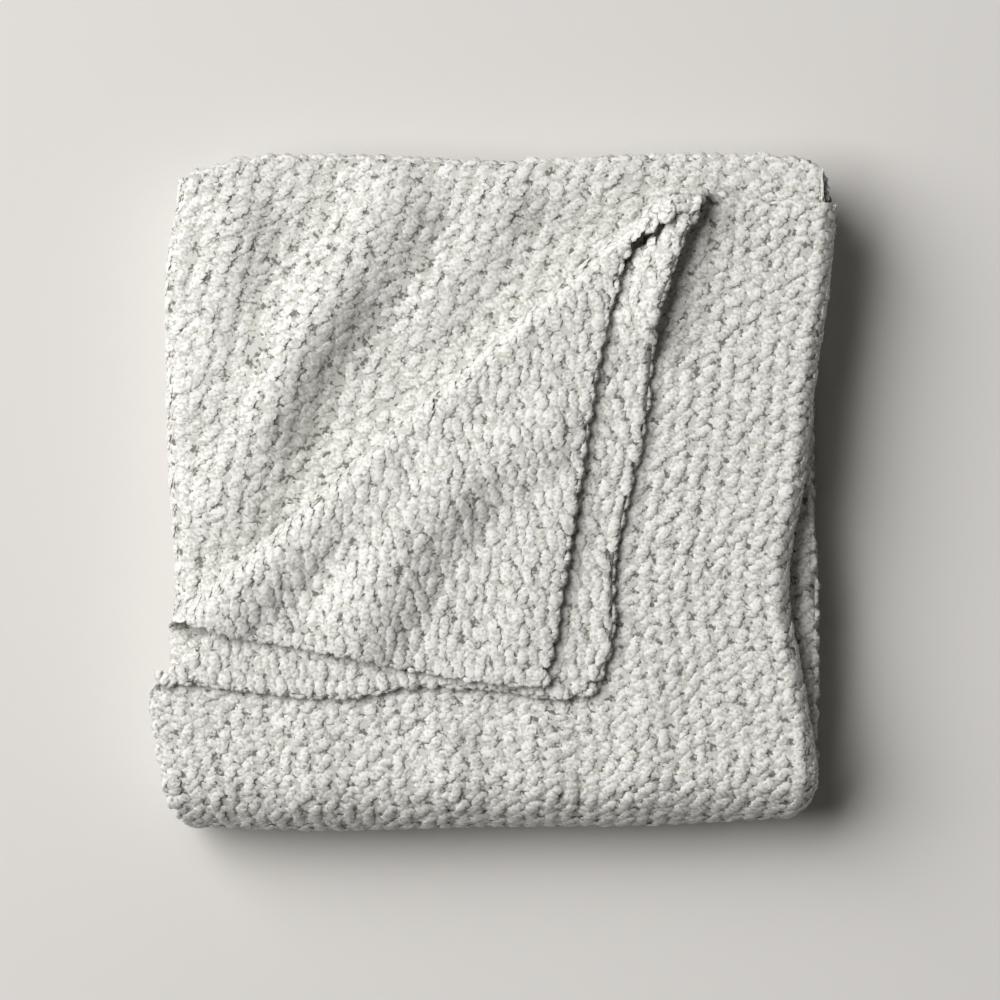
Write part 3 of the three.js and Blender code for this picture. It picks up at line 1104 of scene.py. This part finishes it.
@dataclass
class KnitThrow:
    """The throw: its web on the folds, the loops that show, and the turns along its edges and at the tip.

    The flat sizes are in metres. The steps divide the web's stretches, and its border lies web_inset inside
    the cloth's. A stitch is covered where a layer lies cover_depth above it in all cells within cover_reach.
    The uneven values and yarn_lumps are how far one loop differs from the next. Yarn past selvedge_margin
    is squeezed back into the cloth, and none lies below lowest.
    """

    cloth: FoldedCloth
    gauge: Gauge
    edge: EdgeShape
    tip: TipTurns
    section: YarnSection
    flat_width: float = 1.17
    flat_length: float = 1.57
    web_thickness: float = 1.5
    web_inset: float = 1.6
    steps_across: tuple[int, ...] = (50, 8, 30, 8, 16)
    steps_along: tuple[int, ...] = (48, 10, 12, 6, 12, 10, 48)
    map_counts: tuple[int, int] = (700, 900)
    map_cell: float = 5.0
    map_margin: int = 4
    cover_depth: float = 5.0
    cover_reach: int = 2
    piece_loops: int = 700
    yarn_lumps: float = 0.08
    uneven_lean: float = 0.28
    uneven_size: float = 0.1
    uneven_place: float = 1.0
    uneven_level: float = 0.25
    lowest: float = 0.3
    edge_samples: int = 900
    edge_overhang: float = 1.0
    selvedge_margin: float = 2.0
    selvedge_squeeze: float = 0.2

    def build(self) -> None:
        """Makes the web and the loops."""
        self.random = np.random.default_rng(SEED)
        self._map_tops()
        self.web = self._build_web()
        self.loops = []
        for region in self._regions():
            self.loops += self._build_region(region)
        self.loops += self._build_edges()
        self.loops.append(self._build_tip())

    def dress(self, yarn: bpy.types.Material, web: bpy.types.Material) -> None:
        """Gives the pieces their finishes and says what they are.

        Args:
            yarn: material of the loops.
            web: material of the web.
        """
        self.web.data.materials.append(web)
        for piece in self.loops:
            piece.data.materials.append(yarn)
        for piece in (self.web, *self.loops):
            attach(piece, BODY)
            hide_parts(NODE)

    def _regions(self) -> tuple[Region, ...]:
        """Lists the parts of the cloth that show.

        Returns:
            The regions, in the order in which they are made.
        """
        top, under, out, inner, far = Ply.TOP, Ply.UNDER, Face.OUT, Face.IN, math.inf
        half_roll = math.pi / 2 * self.cloth.corner[top].radius
        return (
            Region("base_knit", top, out, (0, 1), (0, 1), hide_covered=True, beyond=(-far, 4)),
            Region("right_fold_knit", top, out, (1, 2.1), (0, 3)),
            Region("front_bend_knit", top, out, (0, 1), (1, 2.06)),
            Region("layer_2_knit", under, out, (1.9, 3), (0, 1), hide_covered=True, slant=0.2, fuzz=0.7),
            Region("left_fold_knit", under, out, (3, 4.1), (0, 3)),
            Region("layer_3_knit", top, out, (4.86, 5), (0, 1.1)),
            Region("flap_1_knit", under, out, (0, 1), (0, 1), BUMPS, beyond=(0, far), fuzz=0.65),
            Region(
                "flap_2_knit", top, inner, (0, 1), (0, 1), BUMPS, hide_covered=True,
                beyond=(half_roll, far),
            ),
            Region("roll_end_knit", under, inner, (0, 0.12), (0, 1), BUMPS, beyond=(-30, 16)),
        )

    def _map_tops(self) -> None:
        """Maps the height of the topmost layer over the bundle's plan."""
        place = self.cloth.middle(*whole_sheet(self.map_counts))
        self.map_low = place[:, :2].min(axis=0) - self.map_margin * self.map_cell
        cells = self._cells(place)
        self.tops = np.zeros(cells.max(axis=0) + 1 + self.map_margin)
        np.maximum.at(self.tops, (cells[:, 0], cells[:, 1]), place[:, 2])

    def _cells(self, place: Array) -> Array:
        """Finds the cells of the height map that points lie in."""
        return ((place[:, :2] - self.map_low) / self.map_cell).astype(int)

    def _covered(self, place: Array) -> Array:
        """Tells which points lie well under another layer.

        Args:
            place: the points, one a row.

        Returns:
            True for each point that has another layer over it and over the places around it.
        """
        cells = self._cells(place)
        lowest = np.full(len(place), np.inf)
        reach = range(-self.cover_reach, self.cover_reach + 1)
        for dx in reach:
            for dy in reach:
                lowest = np.minimum(lowest, self.tops[cells[:, 0] + dx, cells[:, 1] + dy])
        return lowest > place[:, 2] + self.cover_depth

    def _build_web(self) -> bpy.types.Object:
        """Makes the web: one grid laid on the folds, given its thickness.

        Returns:
            The web.
        """
        stops = []
        for steps in (self.steps_across, self.steps_along):
            parts = [stretch + np.arange(count) / count for stretch, count in enumerate(steps)]
            stops.append(np.append(np.concatenate(parts), len(steps)))
        counts = [len(stop) - 1 for stop in stops]
        grid = bmesh.new()
        bmesh.ops.create_grid(grid, x_segments=counts[0], y_segments=counts[1], size=1.0)
        flat = np.array([vertex.co for vertex in grid.verts])
        index = [np.rint((flat[:, k] + 1) / 2 * counts[k]).astype(int) for k in (0, 1)]
        across, along = stops[0][index[0]], stops[1][index[1]]
        place = self.cloth.middle(across, along)
        sideways, forwards, _ = self.cloth.tangents(across, along)
        place += sideways * self.web_inset * ((across == 0) * 1.0 - (across == ACROSS_END) * 1.0)[:, None]
        place += forwards * self.web_inset * ((along == 0) * 1.0 - (along == ALONG_END) * 1.0)[:, None]
        for vertex, point in zip(grid.verts, place * METRE):
            vertex.co = point
        mesh = bpy.data.meshes.new("throw_web")
        grid.to_mesh(mesh)
        grid.free()
        mesh.polygons.foreach_set("use_smooth", np.ones(len(mesh.polygons), bool))
        self._set_sheet_uv(mesh, across, along)
        piece = new_object("throw_web", mesh)
        wall = piece.modifiers.new("wall", "SOLIDIFY")
        wall.thickness = self.web_thickness * METRE
        wall.offset = 0.0
        LOG.info("web: %d faces", len(mesh.polygons))
        return piece

    def _set_sheet_uv(self, mesh: bpy.types.Mesh, across: Array, along: Array) -> None:
        """Writes lengths along the sheet, in millimetres, to the web's UV map.

        Args:
            mesh: the web's mesh.
            across: running numbers across of its points.
            along: running numbers along of its points.
        """
        path = np.where(along <= PLY_CHANGE, along, ALONG_END - along)
        s, t = np.empty(len(across)), np.empty(len(across))
        for ply, mask in ((Ply.TOP, along <= PLY_CHANGE), (Ply.UNDER, along > PLY_CHANGE)):
            stops_s, stops_t = self.gauge.stops(ply)
            s[mask] = np.interp(across[mask], ACROSS_STOPS, stops_s)
            t[mask] = np.interp(path[mask], PATH_STOPS, stops_t)
        corners = np.zeros(len(mesh.loops), np.int32)
        mesh.loops.foreach_get("vertex_index", corners)
        coords = np.column_stack([s[corners], t[corners]]).astype(np.float32)
        mesh.uv_layers.new(name="sheet").data.foreach_set("uv", coords.ravel())

    def _stitches(self, region: Region, parity: int) -> tuple[Array, Array]:
        """Finds every other stitch of a region.

        Args:
            region: the region.
            parity: 0 or 1, for which of the stitches.

        Returns:
            Lengths across and along of the stitches' middles.
        """
        gauge = self.gauge
        stops_s, stops_t = gauge.stops(region.ply)
        s_range = np.interp(region.across, ACROSS_STOPS, stops_s)
        t_range = np.interp(region.path, PATH_STOPS, stops_t)
        spread = int(abs(region.slant) * np.ptp(t_range) / gauge.wale)
        wales = np.arange(int(s_range[0] / gauge.wale) - spread, int(s_range[1] / gauge.wale) + spread + 1)
        courses = np.arange(int(t_range[0] / gauge.course), int(t_range[1] / gauge.course) + 1)
        wale, course = (n.ravel() for n in np.meshgrid(wales, courses))
        t = (course + gauge.first_course) * gauge.course
        s = (wale + gauge.first_wale) * gauge.wale + region.slant * (t - t_range.mean())
        inside = (s >= s_range[0]) & (s < s_range[1]) & (t >= t_range[0]) & (t < t_range[1])
        chosen = inside & ((wale + course) % 2 == parity)
        s, t = s[chosen], t[chosen]
        across, along, _, _ = gauge.numbers(region.ply, s, t)
        kept = np.ones(len(s), bool)
        if region.beyond is not None:
            beyond = self.cloth.beyond_fold(across, along, region.ply)
            kept &= (beyond > region.beyond[0]) & (beyond < region.beyond[1])
        if region.hide_covered:
            kept &= ~self._covered(self.cloth.middle(across, along))
        return s[kept], t[kept]

    def _inside(self, s: Array, width: float) -> Array:
        """Draws yarn that runs past a selvedge back into the cloth.

        Args:
            s: lengths across the sheet.
            width: the sheet's width.

        Returns:
            The lengths across after that.
        """
        low, high = self.selvedge_margin, width - self.selvedge_margin
        past = np.minimum(s - low, 0.0) + np.maximum(s - high, 0.0)
        return s - (1 - self.selvedge_squeeze) * past

    def _place(self, ply: Ply, s: Array, t: Array, level: Array, face: Face) -> tuple[Array, Array]:
        """Lays points of the sheet on the folds.

        Args:
            ply: which ply.
            s: lengths across.
            t: lengths along.
            level: height above the cloth's middle, on the face.
            face: which face.

        Returns:
            The points and the face's outward directions, in the shape of s with a last axis of 3.
        """
        across, along, past_s, past_t = self.gauge.numbers(ply, s.ravel(), t.ravel())
        place = self.cloth.middle(across, along)
        sideways, forwards, out = self.cloth.tangents(across, along)
        out = out * face.value
        place += sideways * past_s[:, None] + forwards * past_t[:, None] + out * level.ravel()[:, None]
        return place.reshape(*s.shape, 3), out.reshape(*s.shape, 3)

    def _build_region(self, region: Region) -> list[bpy.types.Object]:
        """Makes the loops of one region, in pieces of a limited size.

        Args:
            region: the region.

        Returns:
            The pieces.
        """
        front = 0 if region.face is Face.OUT else 1
        pieces = []
        for part, loop, parity in (
            ("front", region.stitch.front, front), ("back", region.stitch.back, 1 - front),
        ):
            s, t = self._stitches(region, parity)
            for number, first in enumerate(range(0, len(s), self.piece_loops)):
                chunk = slice(first, first + self.piece_loops)
                name = f"{region.name}_{part}_{number + 1}"
                pieces.append(self._build_loops(name, region, loop, s[chunk], t[chunk]))
        return pieces

    def _build_loops(
        self, name: str, region: Region, loop: LoopShape, s: Array, t: Array
    ) -> bpy.types.Object:
        """Makes one piece of loops, each a little different.

        Args:
            name: the piece's name.
            region: the region that the stitches belong to.
            loop: the shape of its loops.
            s: lengths across of the stitches' middles.
            t: lengths along of the stitches' middles.

        Returns:
            The piece.
        """
        count = len(s)
        route, yarn_radius = loop.route()
        uneven = self.random.normal(0.0, 1.0, (count, 6))[:, :, None]
        swing = self.uneven_lean * uneven[:, 0]
        size = 1 + self.uneven_size * uneven[:, 1]
        right = size * (route[:, 0] * np.cos(swing) - route[:, 1] * np.sin(swing))
        local_t = region.up * size * (route[:, 0] * np.sin(swing) + route[:, 1] * np.cos(swing))
        place_s = s[:, None] + right + region.slant * local_t + self.uneven_place * uneven[:, 2]
        place_s = self._inside(place_s, self.gauge.stops(region.ply)[0][-1])
        place_t = t[:, None] + local_t + self.uneven_place * uneven[:, 3]
        level = route[:, 2] + self.uneven_level * uneven[:, 4]
        lines, out = self._place(region.ply, place_s, place_t, level, region.face)
        radius = yarn_radius * (1 + self.uneven_size * uneven[:, 5])
        piece = self._yarn_piece(name, lines, out, radius, loop.sides)
        add_fuzz(piece.data, out.repeat(loop.sides, axis=1).reshape(-1, 3), region.fuzz)
        return piece

    def _yarn_piece(
        self, name: str, lines: Array, out: Array, radius: Array, sides: int
    ) -> bpy.types.Object:
        """Makes one piece of yarn tubes along lines.

        Args:
            name: the piece's name.
            lines: points by tube, ring and coordinate.
            out: the cloth's outward direction at each point.
            radius: the yarn's radius at each point.
            sides: number of sides of a tube.

        Returns:
            The piece.
        """
        rings = self.section.sweep(lines, out, radius, sides)
        rings += self.random.normal(0.0, self.yarn_lumps, rings.shape)
        rings[..., 2] = np.maximum(rings[..., 2], self.lowest)
        mesh = tube_mesh(name, rings, yarn_lengths(lines), self.random.random(len(lines)))
        LOG.info("%s: %d loops", name, len(lines))
        return new_object(name, mesh)

    def _edge_stops(self, across: Array, along: Array) -> tuple[Array, Array]:
        """Spaces an edge's turns evenly, and leaves out those on a fold.

        Args:
            across: running numbers across, close together along one edge.
            along: running numbers along, likewise.

        Returns:
            Running numbers across and along of the turns.
        """
        place = self.cloth.middle(across, along)
        run = np.r_[0, np.cumsum(np.linalg.norm(np.diff(place, axis=0), axis=1))]
        stops = np.arange(self.edge.pitch / 2, run[-1], self.edge.pitch)
        across, along = np.interp(stops, run, across), np.interp(stops, run, along)
        kept = ~self._on_fold(across, along)
        return across[kept], along[kept]

    def _on_fold(self, across: Array, along: Array) -> Array:
        """Tells which points of the throw's ends lie on a side fold or on the turned corner's roll.

        Args:
            across: running numbers across.
            along: running numbers along.

        Returns:
            True for each point that does.
        """
        folded = (across % 2 > 1) & ((along == 0) | (along == ALONG_END))
        for ply, end in ((Ply.TOP, 0.0), (Ply.UNDER, ALONG_END)):
            beyond = self.cloth.beyond_fold(across, along, ply)
            turning = (beyond > 0) & (beyond < math.pi * self.cloth.corner[ply].radius)
            folded |= turning & (along == end) & (across <= 1)
        return folded

    def _build_edge(
        self, name: str, across: Array, along: Array, inward: tuple[int, int]
    ) -> bpy.types.Object:
        """Makes the turns along one edge.

        Args:
            name: the piece's name.
            across: running numbers across, close together along the edge.
            along: running numbers along, likewise.
            inward: the direction into the cloth, across and along.

        Returns:
            The piece.
        """
        edge = self.edge
        across, along = self._edge_stops(across, along)
        place = self.cloth.middle(across, along)
        sideways, forwards, out = self.cloth.tangents(across, along)
        into = sideways * inward[0] + forwards * inward[1]
        onward = np.cross(out, into)
        uneven = self.random.normal(0.0, 1.0, (len(across), 4))[:, :, None]
        route = edge.route()
        swing = self.uneven_lean * uneven[:, 0]
        step = route[:, 0] * (1 + self.uneven_size * uneven[:, 1])
        depth = edge.radius + route[:, 1] + swing * route[:, 0] - self.edge_overhang
        level = route[:, 2] + self.uneven_level * uneven[:, 2]
        lines = (
            place[:, None] + onward[:, None] * step[:, :, None] + into[:, None] * depth[:, :, None]
            + out[:, None] * level[:, :, None]
        )
        upward = np.broadcast_to(out[:, None], lines.shape)
        radius = np.broadcast_to(edge.radius * (1 + self.uneven_size * uneven[:, 3]), depth.shape)
        return self._yarn_piece(name, lines, upward, radius, edge.sides)

    def _build_tip(self) -> bpy.types.Object:
        """Makes the turns that close the roll's end at the tip.

        Returns:
            The piece.
        """
        lines, radius = self.tip.routes()
        upward = np.broadcast_to((0.0, 0.0, 1.0), lines.shape)
        return self._yarn_piece("tip_turns", lines, upward, radius, self.tip.sides)

    def _build_edges(self) -> list[bpy.types.Object]:
        """Makes the turns along the throw's two ends and two selvedges.

        Returns:
            The pieces.
        """
        count = self.edge_samples
        across, along = np.linspace(0, ACROSS_END, count), np.linspace(0, ALONG_END, count)
        low, wide, long = np.zeros(count), np.full(count, ACROSS_END), np.full(count, ALONG_END)
        return [
            self._build_edge("top_end_edge", across, low, (0, 1)),
            self._build_edge("under_end_edge", across, long, (0, -1)),
            self._build_edge("first_selvedge", low, along, (1, 0)),
            self._build_edge("second_selvedge", wide, along, (-1, 0)),
        ]


@dataclass(frozen=True)
class Studio:
    """A plain pale floor, soft light from the back left, and a camera straight above."""

    view_mm: float = 610.0
    view_height_mm: float = 60.0
    lens_mm: float = 400.0
    sensor_mm: float = 36.0
    middle_mm: tuple[float, float] = (3.83, -3.88)
    floor_m: float = 6.0
    floor_colour: str = "#dfdcd8"
    floor_roughness: float = 0.9
    floor_specular: float = 0.1
    world_colour: str = "#f4f3f1"
    world_strength: float = 0.055
    key_at_m: tuple[float, float, float] = (-3.1, 1.55, 3.8)
    key_size_m: float = 4.6
    key_watts: float = 380.0

    def build(self) -> None:
        """Makes the floor, the light and the camera."""
        self._floor()
        self._light()
        self._camera()

    def _floor(self) -> None:
        """Lays the floor."""
        grid = bmesh.new()
        bmesh.ops.create_grid(grid, x_segments=1, y_segments=1, size=self.floor_m / 2)
        mesh = bpy.data.meshes.new("floor")
        grid.to_mesh(mesh)
        grid.free()
        floor = new_object("floor", mesh)
        # Uncoated paper, rolled smooth: it has no gloss, so it shows the light's fall and the shadow alone.
        material = new_material("matt_paper")
        tree = material.node_tree
        shader = add_node(tree, "BsdfPrincipled", {
            "Base Color": to_linear(self.floor_colour), "Roughness": self.floor_roughness,
            "Specular IOR Level": self.floor_specular,
        })
        add_node(tree, "OutputMaterial", links={0: shader.outputs[0]})
        mesh.materials.append(material)

    def _light(self) -> None:
        """Hangs the soft light and sets the room's own light."""
        world = bpy.data.worlds.new("room")
        world.use_nodes = True
        background = world.node_tree.nodes["Background"]
        background.inputs["Color"].default_value = to_linear(self.world_colour)
        background.inputs["Strength"].default_value = self.world_strength
        bpy.context.scene.world = world
        lamp = bpy.data.lights.new("key", "AREA")
        lamp.size = self.key_size_m
        lamp.energy = self.key_watts
        key = new_object("key", lamp)
        key.location = self.key_at_m
        key.rotation_euler = (-Vector(self.key_at_m)).to_track_quat("-Z", "Y").to_euler()

    def _camera(self) -> None:
        """Sets the camera straight above."""
        data = bpy.data.cameras.new("camera")
        data.lens = self.lens_mm
        data.sensor_width = self.sensor_mm
        distance = self.view_mm * self.lens_mm / self.sensor_mm
        camera = new_object("camera", data)
        camera.location = Vector((*self.middle_mm, self.view_height_mm + distance)) * METRE
        bpy.context.scene.camera = camera


def main() -> None:
    """Builds the studio and the throw."""
    logging.basicConfig(level=logging.INFO, format="%(name)s: %(message)s")
    bpy.context.scene.view_settings.view_transform = "Standard"
    Studio().build()
    cloth, gauge = FoldedCloth(), Gauge()
    cloth.settle_in(*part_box(NODE))
    throw = KnitThrow(cloth, gauge, EdgeShape(), TipTurns(), YarnSection())
    throw.build()
    throw.dress(MarledYarn().material(), KnitWeb().material(gauge))


if __name__ == "__main__":
    main()
